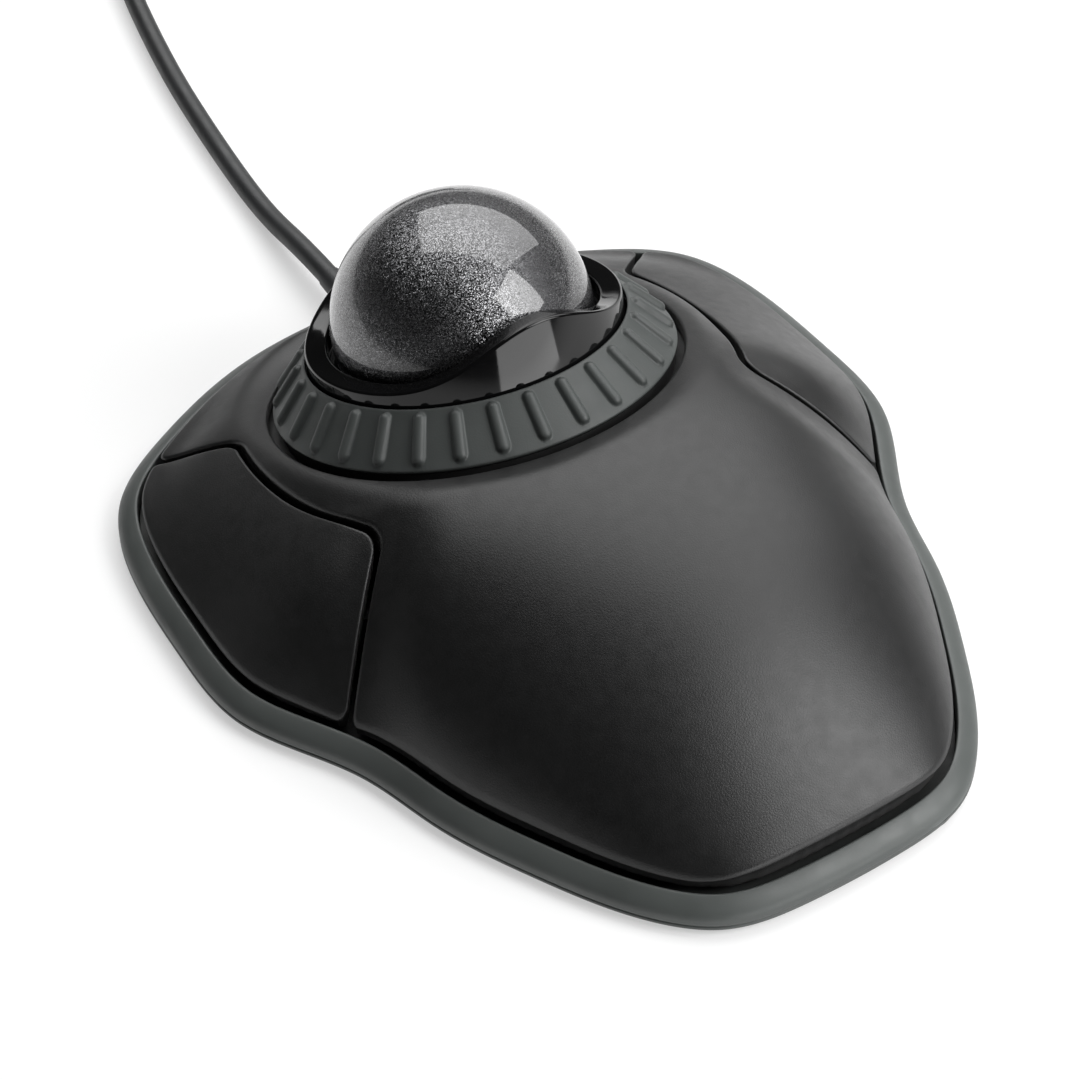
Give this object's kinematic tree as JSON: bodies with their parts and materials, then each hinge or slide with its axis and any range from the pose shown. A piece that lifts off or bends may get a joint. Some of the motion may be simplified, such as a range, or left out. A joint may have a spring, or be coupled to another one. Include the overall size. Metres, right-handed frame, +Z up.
{
  "type": "trackball mouse",
  "caption": "Wired desktop trackball with a ball in a tilted ribbed scroll ring, a wide button on each wing, a raised palm rest and a tapered bumper rim.",
  "frame": {"origin": "on the desk, at the middle of the casing's length and width", "axes": "+X to the user's right, +Y away from the user towards the screen, +Z up"},
  "size_m": [0.1925, 0.2985, 0.0468],
  "materials": {
    "soft_black": "soft-touch black, very fine grain",
    "rim_grey": "dark grey satin",
    "base_black": "black moulded plastic",
    "foot_rubber": "soft black rubber",
    "screw_steel": "zinc-plated steel",
    "pin_steel": "ground steel",
    "ball_gloss": "dark metallic flake under clear gloss",
    "cup_black": "black moulded plastic",
    "bearing_white": "white ceramic",
    "gloss_black": "polished black",
    "ring_rubber": "dark grey rubber",
    "carrier_black": "black moulded plastic",
    "sensor_black": "black moulded plastic",
    "board_green": "green solder mask",
    "lens_clear": "clear optical plastic",
    "chip_black": "moulded epoxy",
    "component_tan": "ceramic and tinned ends",
    "connector_white": "natural nylon",
    "wire_red": "coloured wire insulation",
    "switch_black": "black moulded plastic",
    "plunger_white": "white acetal",
    "cable_black": "matte black cable jacket",
    "tie_black": "black strap",
    "plug_metal": "nickel-plated steel",
    "plug_white": "white plastic"
  },
  "bodies": {
    "housing": {"ball_bearings": "bearing_white", "ball_cup": "cup_black", "base_plate": "base_black", "board_components": "component_tan", "board_screws": "screw_steel", "cable_coil": "cable_black", "cable_connector": "connector_white", "cable_lead": "cable_black", "cable_tail": "cable_black", "cable_wires": "wire_red", "case_screws": "screw_steel", "coil_tie": "tie_black", "collar_bezel": "gloss_black", "controller_chip": "chip_black", "cup_screws": "screw_steel", "encoder_board": "board_green", "feet": "foot_rubber", "left_hinge_pin": "pin_steel", "left_switch": "switch_black", "main_board": "board_green", "plug_body": "cable_black", "plug_shell": "plug_metal", "plug_tongue": "plug_white", "right_hinge_pin": "pin_steel", "right_switch": "switch_black", "rim_bumper": "rim_grey", "ring_encoder": "sensor_black", "sensor_board": "board_green", "sensor_chip": "chip_black", "sensor_lens": "lens_clear", "strain_relief": "cable_black", "upper_shell": "soft_black"},
    "ball": {"ball": "ball_gloss"},
    "scroll_ring": {"scroll_ring_sleeve": "ring_rubber", "scroll_ring_carrier": "carrier_black"},
    "left_button": {"left_button": "soft_black"},
    "right_button": {"right_button": "soft_black"},
    "left_plunger": {"left_switch_plunger": "plunger_white"},
    "right_plunger": {"right_switch_plunger": "plunger_white"}
  },
  "joints": [
    {"name": "ball_roll", "type": "hinge", "parent": "housing", "child": "ball", "pos_m": [0, 0.0336, 0.0268], "axis": [1, 0, 0], "continuous": true},
    {"name": "scroll_ring_turn", "type": "hinge", "parent": "housing", "child": "scroll_ring", "pos_m": [0, 0.0336, 0.0268], "axis": [0, 0.3486, 0.9373], "continuous": true},
    {"name": "left_button_press", "type": "hinge", "parent": "housing", "child": "left_button", "pos_m": [-0.0403, 0.043, 0.0052], "axis": [1, 0, 0], "range_deg": [0, 1], "stiffness_Nm_per_rad": 1.6, "springref_deg": -1.15},
    {"name": "right_button_press", "type": "hinge", "parent": "housing", "child": "right_button", "pos_m": [0.0403, 0.043, 0.0052], "axis": [1, 0, 0], "range_deg": [0, 1], "stiffness_Nm_per_rad": 1.6, "springref_deg": -1.15},
    {"name": "left_switch_travel", "type": "slide", "parent": "housing", "child": "left_plunger", "axis": [0, 0, -1], "range_m": [0, 0.0008]},
    {"name": "right_switch_travel", "type": "slide", "parent": "housing", "child": "right_plunger", "axis": [0, 0, -1], "range_m": [0, 0.0008]}
  ],
  "couplings": [
    {"joint": "left_switch_travel", "follows": "left_button_press", "m_per_rad": 0.0364},
    {"joint": "right_switch_travel", "follows": "right_button_press", "m_per_rad": 0.0364}
  ]
}
